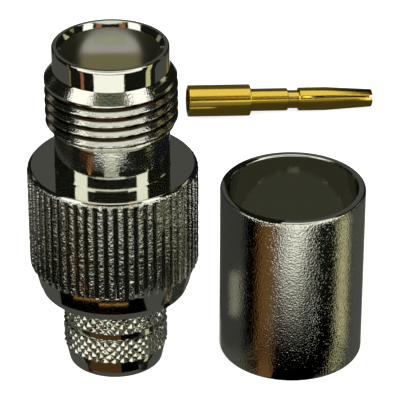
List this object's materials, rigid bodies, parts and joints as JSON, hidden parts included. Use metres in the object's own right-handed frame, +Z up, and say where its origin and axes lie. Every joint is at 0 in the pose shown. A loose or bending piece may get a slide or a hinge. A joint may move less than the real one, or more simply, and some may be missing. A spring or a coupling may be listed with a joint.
{
  "type": "tnc coaxial cable jack kit",
  "caption": "Threaded coaxial cable jack with a fluted collar and a knurled crimp stem, laid out with its loose slotted socket contact and its crimp ferrule.",
  "frame": {"origin": "centre of the crimp stem's end, which is the mouth of the cable bore and stands on the surface", "axes": "+Z up the jack's axis towards its mating face; +X towards the ferrule beside it; +Y towards the loose contact behind it"},
  "size_m": [0.0321, 0.0536, 0.0299],
  "materials": {
    "barrel_plating": "turned brass, bright nickel plating",
    "body_plating": "turned and knurled brass, bright nickel plating",
    "ferrule_plating": "drawn brass tube, bright nickel plating",
    "contact_plating": "turned, bright gold plating",
    "insulator": "turned fluoropolymer, matt white"
  },
  "bodies": {
    "root": {"jack_barrel": "barrel_plating", "knurled_body": "body_plating", "insulator": "insulator", "socket_contact": "contact_plating", "crimp_ferrule": "ferrule_plating"}
  },
  "joints": []
}
